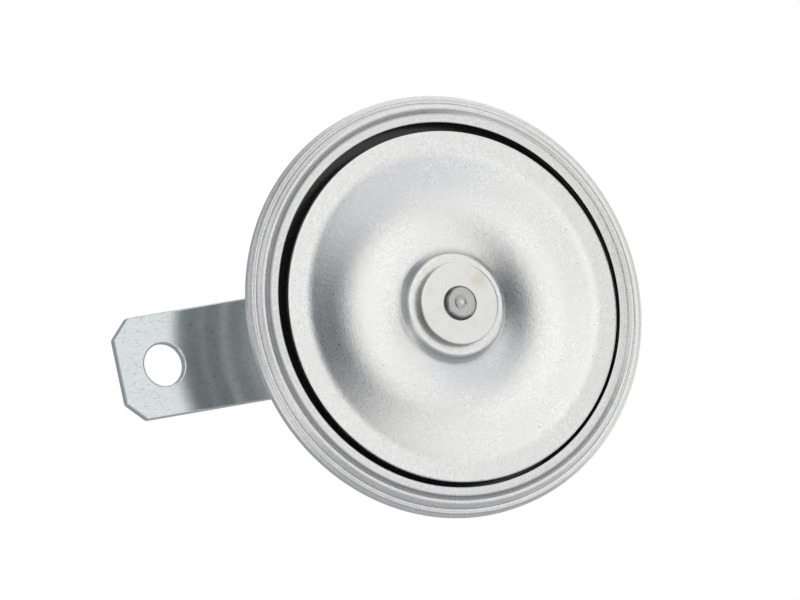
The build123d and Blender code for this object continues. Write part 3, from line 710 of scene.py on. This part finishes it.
def moulded(name, colour, roughness=0.45):
    """Moulded or pressed stuff with a light grain."""
    material, tree, shader = new_material(name)
    spot = millimetres(tree)
    grain = noise(tree, spot, 2.2, 4.0, 0.6)
    base = blend(tree, fade(tree, grain, 0.35, 0.7), shaded(colour, 0.85), shaded(colour, 1.25))
    rough = fade(tree, grain, 0.3, 0.7, roughness - 0.06, roughness + 0.08)
    feed(tree, shader, {"Base Color": base, "Roughness": rough})
    bump(tree, shader, grain, 0.02)
    return material


def layered(name, colour):
    """Paper or fibre board with short flecks."""
    material, tree, shader = new_material(name)
    spot = millimetres(tree)
    flecks = noise(tree, stretched(tree, spot, (0.8, 3.0, 2.4), 20.0), 1.6, 5.0, 0.7)
    base = blend(tree, fade(tree, flecks, 0.35, 0.68), shaded(colour, 0.72), shaded(colour, 1.3))
    feed(tree, shader, {"Base Color": base, "Roughness": 0.72})
    bump(tree, shader, flecks, 0.03)
    return material


def wound_wire(name, colour, turn_width):
    """Enamelled wire laid in turns along the axis, with painted shade in the grooves between the turns."""
    material, tree, shader = new_material(name)
    spot = millimetres(tree)
    height = add(tree, "SeparateXYZ", {0: spot}).outputs["Y"]
    wave = maths(tree, "SINE", maths(tree, "MULTIPLY", height, 2 * pi / turn_width))
    grain = noise(tree, spot, 1.2, 2.0)
    # painted shade in the grooves between the turns
    base = blend(tree, fade(tree, wave, -1.0, 0.2), shaded(colour, 0.45), colour)
    base = blend(tree, fade(tree, grain, 0.4, 0.7, 0.0, 0.3), base, shaded(colour, 0.7))
    feed(tree, shader, {"Base Color": base, "Roughness": 0.28, "Metallic": 0.75, "Coat Weight": 0.5})
    bump(tree, shader, wave, 0.12)
    return material


# ---------------------------------------------------------------- pieces
class HORN_OT_housing(bpy.types.Operator):
    """Housing: a pressed cup whose edge is rolled over the clamp ring"""

    bl_idname = "horn.housing"
    bl_label = "Housing"

    def execute(self, context):
        points = [
            (STUD_HOLE, REAR),
            (WALL, REAR),
            (WALL, FLANGE_REAR - SEAT_STEP),
            (SEAT_RADIUS - SEAT_STEP, FLANGE_REAR - SEAT_STEP),
            (SEAT_RADIUS, FLANGE_REAR),
            (RIM, FLANGE_REAR),
            (RIM, LIP_FOOT),
            LIP_TURN,
            LIP_END,
        ]
        bends = [(2.9, 2.0), (1.5, 2.4), (0.5, 0.3), (0.3, 0.5), (1.7, 0.8), (0.5, 0.05), (0.2, 0.05)]
        piece = turned("housing_shell", spread(pressing(points, bends, HOUSING_SHEET), 2.0), sizes().round_steps)
        cutters = [peg(*hole, REAR - 1.0, REAR + HOUSING_SHEET + 1.0) for hole in HOUSING_HOLES]
        low, high = (Vector(corner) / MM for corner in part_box("terminal_block"))
        middle = (low + high) / 2
        deselect()
        bpy.ops.mesh.primitive_cube_add(
            size=1.0, location=place(middle.x - AXIS_X, REAR, middle.z), rotation=(0, radians(-TERMINAL_TURN), 0)
        )
        window = bpy.context.object
        window.scale = (NECK[0] * MM, 4.0 * MM, NECK[1] * MM)
        cutters.append(settled(window))
        cut(piece, cutters)
        smooth(piece)
        # painted shade in two thin lines round the rolled lip, weaker on one side
        shade_bands = [(HORN_AXIS, 43.75, 43.9, 43.95, 44.1, 0.24, 0.6), (HORN_AXIS, 44.3, 44.45, 44.5, 44.65, 0.2, 0.6)]
        finish = galvanised("zinc_rolled", colours().zinc, 0.35, shade_bands)
        finished(piece, "horn_body", "zinc_sheet", finish, "housing")
        return {"FINISHED"}


class HORN_OT_clamp_ring(bpy.types.Operator):
    """Clamp ring: a flat land, a crease and a bead under the rolled lip"""

    bl_idname = "horn.clamp_ring"
    bl_label = "Clamp ring"

    def execute(self, context):
        points = [
            (RING_OPENING, RING_EDGE),
            (RING_OPENING + LAND_WIDTH, RING_EDGE),
            (RING_OPENING + CREASE_WIDTH, CREASE_HEIGHT),
            (RING_OPENING + BEAD_WIDTH, BEAD_HEIGHT),
            BEAD_FOOT,
            (SKIRT_RADIUS, RING_SEAT),
            (RING_RADIUS, RING_SEAT),
        ]
        bends = [(0.5, 0.1), (0.1, 0.7), (0.7, 0.05), (0.3, 0.0), (0.1, 0.3)]
        face = rounded(points, [near for near, _ in bends], 4.0)
        back = rounded(beside(points, -RING_SHEET), [far for _, far in bends], 4.0)
        edge = rounded([back[1], back[0], face[0], face[1]], [0.1, 0.3], 12.0)[1:-1]
        path = spread(edge + face[1:] + back[:0:-1], 1.2)
        piece = turned("clamp_ring_pressing", path, sizes().round_steps)
        # painted shade on the cut edge of the opening and in the crease; the crease's shade is gone on one side
        groove = RING_OPENING + CREASE_WIDTH
        shade_bands = [
            (HORN_AXIS, RING_OPENING - 2.0, RING_OPENING - 1.0, RING_OPENING, RING_OPENING + 0.12, 0.9, 0.0),
            (HORN_AXIS, groove - 1.0, groove - 0.3, groove - 0.05, groove + 0.15, 0.68, 1.0, 17.11, 31.11),
        ]
        finish = galvanised("zinc_ring", colours().zinc, 0.26, shade_bands)
        finished(piece, "horn_body", "zinc_sheet", finish, "clamp_ring")
        return {"FINISHED"}


class HORN_OT_tone_disc(bpy.types.Operator):
    """Tone disc: flat brim, trough and raised boss"""

    bl_idname = "horn.tone_disc"
    bl_label = "Tone disc"

    def execute(self, context):
        points = [
            (SPIGOT_HOLE, BOSS_FRONT),
            (BOSS_RADIUS, BOSS_FRONT),
            BOSS_FOOT,
            (TROUGH_RADIUS, DISC_FRONT - TROUGH_DEPTH),
            (BRIM_CREASE, DISC_FRONT),
            (DISC_RADIUS, DISC_FRONT),
        ]
        bends = [(0.6, 0.2), (1.9, 2.7), (TROUGH_BEND, TROUGH_BEND + DISC_SHEET), (8.0, 6.5)]
        face = rounded(points, [near for near, _ in bends], 2.0)
        back = rounded(beside(points, -DISC_SHEET), [far for _, far in bends], 2.0)
        edge = rounded([face[-2], face[-1], back[-1], back[-2]], [0.3, 0.3], 12.0)[1:-1]
        path = spread(face[:-1] + edge + back[-2::-1], 1.2)
        piece = turned("tone_disc_plate", path, sizes().round_steps, axis=SOUNDER_AXIS)
        # painted shade round the foot of the boss, weaker on one side
        shade_bands = [(SOUNDER_AXIS, BOSS_RADIUS, 11.25, 11.6, 13.4, 0.26, 0.4)]
        finished(piece, "sounder", "zinc_sheet", galvanised("zinc_disc", colours().zinc, 0.0, shade_bands), "tone_disc")
        return {"FINISHED"}


class HORN_OT_hub(bpy.types.Operator):
    """Hub: the thick washer and the armature whose end is peened over it"""

    bl_idname = "horn.hub"
    bl_label = "Hub"

    def execute(self, context):
        steps = sizes().small_steps
        points = [
            (SPIGOT_HOLE, BOSS_FRONT), (SPIGOT_HOLE, WASHER_FRONT), (WASHER_RADIUS, WASHER_FRONT),
            (WASHER_RADIUS, BOSS_FRONT), (SPIGOT_HOLE, BOSS_FRONT),
        ]
        washer = rounded(points, [0.15, 0.38, 0.12], 9.0)
        piece = turned("hub_washer_plate", spread(washer[:-1], 1.5), steps * 2, axis=SOUNDER_AXIS)
        finished(piece, "sounder", "plated_fastener", stained_washer("washer_plate", colours().fastener), "hub_washer")
        top = WASHER_FRONT + SPIGOT_RISE
        points = [
            (0.0, ARMATURE_REAR), (PLUNGER_RADIUS, ARMATURE_REAR), (PLUNGER_RADIUS, COLLAR_REAR),
            (COLLAR_RADIUS, COLLAR_REAR), (COLLAR_RADIUS, DISH_REAR), (SPIGOT_RADIUS, DISH_REAR),
            (SPIGOT_RADIUS, WASHER_FRONT), (3.7, WASHER_FRONT), (3.68, WASHER_FRONT + 0.3), (2.98, top),
            (1.75, top), (1.35, top - 0.12), (0.85, top - 0.12), (0.5, top - 0.02), (0.0, top - 0.02),
        ]
        bends = [0.5, 0.3, 0.25, 0.25, 0.1, 0.0, 0.05, 0.2, 0.32, 0.3, 0.3, 0.2, 0.2]
        pin = rounded(points, bends, 10.0)
        piece = turned("armature_plunger", spread(pin, 1.0), steps, closed=False, axis=SOUNDER_AXIS)
        finished(piece, "sounder", "magnet_iron", peened("peened_iron", colours().iron), "armature")
        return {"FINISHED"}


class HORN_OT_diaphragm(bpy.types.Operator):
    """Diaphragm: thin sheet with a flat edge and a dish that lies further back"""

    bl_idname = "horn.diaphragm"
    bl_label = "Diaphragm"

    def execute(self, context):
        dish = DIAPHRAGM_FRONT - DISH_DEPTH
        points = [
            (DIAPHRAGM_HOLE, dish), (DISH_INNER, dish), (DISH_OUTER, DIAPHRAGM_FRONT),
            (DIAPHRAGM_RADIUS, DIAPHRAGM_FRONT),
        ]
        path = pressing(points, [(3.0, 3.0), (3.0, 3.0)], -DIAPHRAGM_SHEET, 3.0)
        piece = turned("diaphragm_sheet", spread(path, 1.0), sizes().small_steps * 2)
        finished(
            piece, "horn_body", "black_diaphragm", moulded("black_lacquer", colours().diaphragm, 0.22), "diaphragm"
        )
        piece.parent = None
        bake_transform(piece)
        return {"FINISHED"}


class HORN_OT_bracket(bpy.types.Operator):
    """Bracket: flat strip with cut corners, a bolt hole and a round end"""

    bl_idname = "horn.bracket"
    bl_label = "Bracket"

    def execute(self, context):
        low, high = (Vector(corner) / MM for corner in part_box("bracket"))
        outline = [
            (low.x + BRACKET_CORNER, -BRACKET_HALF), (low.x, -BRACKET_HALF + BRACKET_CORNER),
            (low.x, BRACKET_HALF - BRACKET_CORNER), (low.x + BRACKET_CORNER, BRACKET_HALF),
        ]
        steps = 96
        arc = [radians(90 - 180 * index / steps) for index in range(steps + 1)]
        outline += [(AXIS_X + BRACKET_HALF * cos(turn), BRACKET_HALF * sin(turn)) for turn in arc]
        piece = traced("bracket_strip", [Vector((x * MM, high.y * MM, z * MM)) for x, z in outline])
        bpy.ops.mesh.edge_face_add()
        bpy.ops.mesh.extrude_region_move(TRANSFORM_OT_translate={"value": (0, (low.y - high.y) * MM, 0)})
        tidy_mesh()
        cut(piece, [
            peg(-AXIS_X, 0.0, BOLT_HOLE, REAR - 6.0, REAR + 4.0, steps),
            peg(0.0, 0.0, STUD_HOLE, REAR - 6.0, REAR + 4.0),
        ])
        bevelled(piece, sizes().strip_round, 4, 25)
        finished(piece, "horn_body", "plated_strip", plated_strip("strip_plate", colours().strip), "bracket")
        return {"FINISHED"}


class HORN_OT_fasteners(bpy.types.Operator):
    """Fasteners: the nut, its spring washer, the rivets and the threaded stud"""

    bl_idname = "horn.fasteners"
    bl_label = "Fasteners"

    def execute(self, context):
        plate = worked_metal("fastener_plate", colours().fastener, 0.27)
        for node, width in (("bracket_nut", 0.2), ("spring_washer", 0.2), ("terminal_rivets", 0.25)):
            piece = softened(node, node + "_finished", width * MM)
            finished(piece, "horn_body", "plated_fastener", plate, node)
        piece = stud()
        iron = worked_metal("turned_iron", colours().iron, 0.36, 1.6, 1.0)
        finished(piece, "horn_body", "magnet_iron", iron, "pole_core")
        return {"FINISHED"}


def stud():
    """The pole with its stud, and a thread that runs out of the nut to the stud's end."""
    floor = REAR + HOUSING_SHEET
    points = [
        (0.0, STUD_END), (THREAD_ROOT, STUD_END), (RELIEF_RADIUS, STUD_END + 0.4), (RELIEF_RADIUS, REAR - 1.0),
        (STUD_RADIUS, REAR - 0.6), (STUD_RADIUS, floor), (CORE_RADIUS, floor), (CORE_RADIUS, CORE_FRONT),
        (0.0, CORE_FRONT),
    ]
    path = spread(rounded(points, [0.1, 0.1, 0, 0, 0, 0.3, 0.4], 10.0), 2.0)
    piece = turned("pole_with_stud", path, sizes().small_steps, closed=False)
    pitch = sizes().thread_pitch / MM
    start = STUD_END + 0.35
    crest = STUD_RADIUS - 0.02
    profile = [
        (THREAD_ROOT, start), (crest, start + pitch * 0.42), (crest, start + pitch * 0.55),
        (THREAD_ROOT, start + pitch * 0.95),
    ]
    places = [place(*point) - Vector((AXIS_X * MM, 0, 0)) for point in profile]
    thread = traced("thread", places + places[:1])
    bpy.ops.mesh.remove_doubles(threshold=0.0005 * MM)
    bpy.ops.object.mode_set(mode="OBJECT")
    helix = thread.modifiers.new("helix", "SCREW")
    helix.axis = "Y"
    helix.angle = 2 * pi
    helix.steps = helix.render_steps = 60
    helix.iterations = 7
    helix.screw_offset = -pitch * MM
    bpy.ops.object.modifier_apply(modifier=helix.name)
    bpy.ops.object.mode_set(mode="EDIT")
    tidy_mesh()
    thread.location = (AXIS_X * MM, 0, 0)
    settled(thread)
    only(piece)
    thread.select_set(True)
    bpy.ops.object.join()
    smooth(piece, 25)
    return piece


class HORN_OT_terminals(bpy.types.Operator):
    """Terminals: the moulded block and its two blades"""

    bl_idname = "horn.terminals"
    bl_label = "Terminals"

    def execute(self, context):
        moulding = moulded("block_moulding", colours().moulding)
        finished(softened("terminal_block", "terminal_block_moulding", 0.3 * MM, 3), "horn_body", "moulding", moulding,
                 "terminal_block")
        brass = worked_metal("rolled_brass", colours().brass, 0.30)
        for node in ("coil_terminal", "breaker_terminal"):
            finished(softened(node, node + "_blade", 0.08 * MM), "horn_body", "brass", brass, node)
        finished(softened("adjuster_bush", "adjuster_bush_turned", 0.2 * MM), "horn_body", "brass", brass,
                 "adjuster_bush")
        return {"FINISHED"}


class HORN_OT_breaker(bpy.types.Operator):
    """Breaker: the contact stack, its leaf and the adjusting screw"""

    bl_idname = "horn.breaker"
    bl_label = "Breaker"

    def execute(self, context):
        tone = colours()
        steel = worked_metal("breaker_plain_steel", tone.steel, 0.33)
        bronze = worked_metal("breaker_spring_bronze", tone.bronze, 0.28)
        silver = worked_metal("contact_silver", tone.contact, 0.24)
        fibre = layered("pressed_fibre", tone.fibre)
        finished(softened("adjusting_screw", "adjusting_screw_turned", 0.15 * MM), "horn_body", "breaker_steel", steel,
                 "adjusting_screw")
        finished(softened("breaker_post", "breaker_post_block", 0.2 * MM), "horn_body", "breaker_steel", steel,
                 "breaker_post")
        leaf = softened("breaker_leaf", "breaker_leaf_spring", 0.03 * MM, 1)
        finished(leaf, "horn_body", "spring_bronze", bronze, "breaker_leaf")
        leaf.parent = None
        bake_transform(leaf)
        for node, material in (
            ("breaker_rivets", steel), ("fixed_arm", bronze), ("breaker_arm", bronze), ("fixed_contact", silver),
            ("moving_contact", silver), ("insulator_lower", fibre), ("insulator_upper", fibre), ("arm_tip", fibre),
        ):
            dressed(node, material)
        return {"FINISHED"}


class HORN_OT_magnet(bpy.types.Operator):
    """Magnet: bobbin, winding, leads and the small iron pieces"""

    bl_idname = "horn.magnet"
    bl_label = "Magnet"

    def execute(self, context):
        tone = colours()
        dressed("coil_bobbin", moulded("bobbin_moulding", tone.moulding, 0.4))
        dressed("coil_winding", wound_wire("winding_wire", tone.copper, 0.45))
        lead = moulded("lead_insulation", tone.lead, 0.38)
        for node in ("coil_lead_in", "coil_lead_out", "breaker_lead"):
            dressed(node, lead)
        paper = layered("sealing_paper", tone.gasket)
        dressed("gasket_front", paper)
        dressed("gasket_rear", paper)
        iron = worked_metal("spacer_iron", tone.iron, 0.38, 1.4, 0.8)
        dressed("diaphragm_washer", iron)
        dressed("spacer_bush", iron)
        return {"FINISHED"}


# ---------------------------------------------------------------- stage
def seen(direction):
    """A direction given right, up and towards the viewer, in the part's frame."""
    return (VIEW_RIGHT * direction[0] + VIEW_UP * direction[1] + VIEW_BACK * direction[2]).normalized()


def shown_as(tree, lit, shown, output):
    """Ends a node tree with one shader for the light that falls on things, and another for what the camera and the
    metal's reflections see."""
    path = add(tree, "LightPath").outputs
    looked = maths(tree, "MAXIMUM", path["Is Camera Ray"], path["Is Glossy Ray"])
    looked = maths(tree, "MAXIMUM", looked, path["Is Transmission Ray"])
    ended(tree, looked, lit, shown, output)


def ended(tree, factor, first, second, output="OutputMaterial"):
    """Mixes two shaders and ends the node tree with them."""
    mixed = add(tree, "MixShader", {0: factor, 1: first.outputs[0], 2: second.outputs[0]})
    add(tree, output, {"Surface": mixed.outputs[0]})


def card(name, direction, half_angles, colour, soft, distance):
    """An oval card with a soft edge, which only the metal's reflections see; its first half angle lies
    along the line away from the camera's own direction."""
    toward = seen(direction)
    outward = toward - VIEW_BACK * toward.dot(VIEW_BACK)
    outward = outward.normalized() if outward.length > 0.05 else VIEW_RIGHT
    across = toward.cross(outward).normalized()
    outward = across.cross(toward)
    reach = [distance * tan(radians(angle)) for angle in half_angles]
    deselect()
    bpy.ops.mesh.primitive_circle_add(vertices=64, radius=1.0, fill_type="NGON", location=(0, 0, 0))
    piece = bpy.context.object
    piece.name = piece.data.name = name
    turn = Matrix((outward, across, toward)).transposed().to_4x4()
    spread_out = Matrix.Diagonal((reach[0], reach[1], 1.0, 1.0))
    piece.matrix_world = Matrix.Translation(toward * distance + VIEW_MIDDLE * MM) @ turn @ spread_out
    material = bpy.data.materials.new(name)
    tree = emptied(material)
    clear = fade(tree, norm(tree, add(tree, "TexCoord").outputs["Object"]), 1.0 - soft, 1.0)
    glow = add(tree, "Emission", {"Color": (*(min(part, 1.0) for part in colour), 1.0), "Strength": max(1.0, *colour)})
    ended(tree, clear, glow, add(tree, "BsdfTransparent"))
    piece.data.materials.append(material)
    piece.visible_camera = False
    piece.visible_diffuse = False
    piece.visible_shadow = False
    piece.visible_transmission = False


# the cards: name, direction given right, up and towards the viewer, half angles in degrees, colour or the name of
# a colour setting, share of the half angles that is soft edge, and distance in metres
CARDS = [
    ("right_flag", (0.935, 0.31, 0.14), (28.0, 17.5), "flag", 0.35, 1.3),
    ("hub_flag", (0.72, 0.62, -0.24), (18.0, 12.0), "flag", 0.5, 1.0),
    ("high_card", (-0.42, 0.84, 0.34), (34.0, 30.0), (0.30, 0.32, 0.37), 0.5, 1.5),
    ("near_flag", (0.0, 0.0, 1.0), (12.0, 12.0), "flag", 0.4, 2.0),
    ("rear_card", (-0.53, -0.12, -0.85), (64.0, 62.0), "rear", 0.3, 0.55),
    ("left_card", (-0.80, -0.05, 0.58), (26.0, 48.0), (0.36, 0.39, 0.44), 0.5, 2.2),
    ("upper_card", (0.84, -0.20, 0.50), (24.0, 24.0), (0.78, 0.81, 0.86), 0.5, 0.7),
    ("low_card", (0.2074, -0.9738, 0.0922), (62.0, 62.0), (0.47, 0.49, 0.52), 0.5, 0.38),
    ("key_card", (0.50, 0.36, 0.79), (24.0, 24.0), (1.16, 1.16, 1.16), 0.7, 3.4),
]


def camera():
    """The camera, far off with a long lens."""
    scene = bpy.context.scene
    data = bpy.data.cameras.new("view")
    view = bpy.data.objects.new("view", data)
    scene.collection.objects.link(view)
    data.sensor_width = 36.0
    data.sensor_fit = "HORIZONTAL"
    data.lens = VIEW_LENS
    data.clip_start = 0.05
    data.clip_end = 50.0
    turn = Matrix((VIEW_RIGHT, VIEW_UP, VIEW_BACK)).transposed().to_4x4()
    view.matrix_world = Matrix.Translation((VIEW_MIDDLE + VIEW_BACK * VIEW_DISTANCE) * MM) @ turn
    scene.camera = view
    scene.view_settings.view_transform = "Standard"


def room():
    """A white world that gives a slightly cool light."""
    world = bpy.data.worlds.new("white_room")
    bpy.context.scene.world = world
    tree = emptied(world)
    lit = add(tree, "Background", {"Color": (0.93, 0.95, 1.0, 1.0), "Strength": 0.8})
    white = add(tree, "Background", {"Color": (1.0, 1.0, 1.0, 1.0), "Strength": 1.0})
    shown_as(tree, lit, white, "OutputWorld")


def floor():
    """A floor that looks as white as the world."""
    deselect()
    height = CAD_BOX[0][2] - sizes().floor_drop
    bpy.ops.mesh.primitive_plane_add(size=12.0, location=(AXIS_X * MM, 0, height))
    piece = bpy.context.object
    piece.name = "floor"
    material = bpy.data.materials.new("pale_floor")
    tree = emptied(material)
    matte = add(tree, "BsdfDiffuse", {"Color": (0.9, 0.9, 0.9, 1.0)})
    white = add(tree, "Emission", {"Color": (1.0, 1.0, 1.0, 1.0)})
    shown_as(tree, matte, white, "OutputMaterial")
    piece.data.materials.append(material)


class HORN_OT_stage(bpy.types.Operator):
    """Stage: camera, white room, floor and the cards that the metal mirrors"""

    bl_idname = "horn.stage"
    bl_label = "Stage"

    def execute(self, context):
        camera()
        room()
        floor()
        for name, direction, half_angles, colour, soft, distance in CARDS:
            if isinstance(colour, str):
                colour = tuple(getattr(colours(), colour))
            card(name, direction, half_angles, colour, soft, distance)
        return {"FINISHED"}


# ---------------------------------------------------------------- add-on
OPERATORS = [
    HORN_OT_stage, HORN_OT_housing, HORN_OT_clamp_ring, HORN_OT_tone_disc, HORN_OT_hub, HORN_OT_diaphragm,
    HORN_OT_bracket, HORN_OT_fasteners, HORN_OT_terminals, HORN_OT_breaker, HORN_OT_magnet,
]


class HORN_PT_panel(bpy.types.Panel):
    """Lists the horn's operators and settings"""

    bl_idname = "HORN_PT_panel"
    bl_label = "Disc horn"
    bl_space_type = "VIEW_3D"
    bl_region_type = "UI"
    bl_category = "Disc horn"

    def draw(self, context):
        layout = self.layout
        for operator in OPERATORS:
            layout.operator(operator.bl_idname)
        for group in (context.scene.horn_sizes, context.scene.horn_colours):
            for name in group.__annotations__:
                layout.prop(group, name)


CLASSES = [HornSizes, HornColours, *OPERATORS, HORN_PT_panel]


def register():
    for kind in CLASSES:
        bpy.utils.register_class(kind)
    bpy.types.Scene.horn_sizes = bpy.props.PointerProperty(type=HornSizes)
    bpy.types.Scene.horn_colours = bpy.props.PointerProperty(type=HornColours)


def unregister():
    del bpy.types.Scene.horn_colours
    del bpy.types.Scene.horn_sizes
    for kind in reversed(CLASSES):
        bpy.utils.unregister_class(kind)


def main():
    """Builds every piece in order."""
    register()
    for operator in OPERATORS:
        group, name = operator.bl_idname.split(".")
        getattr(getattr(bpy.ops, group), name)()
    deselect()


if __name__ == "__main__":
    main()
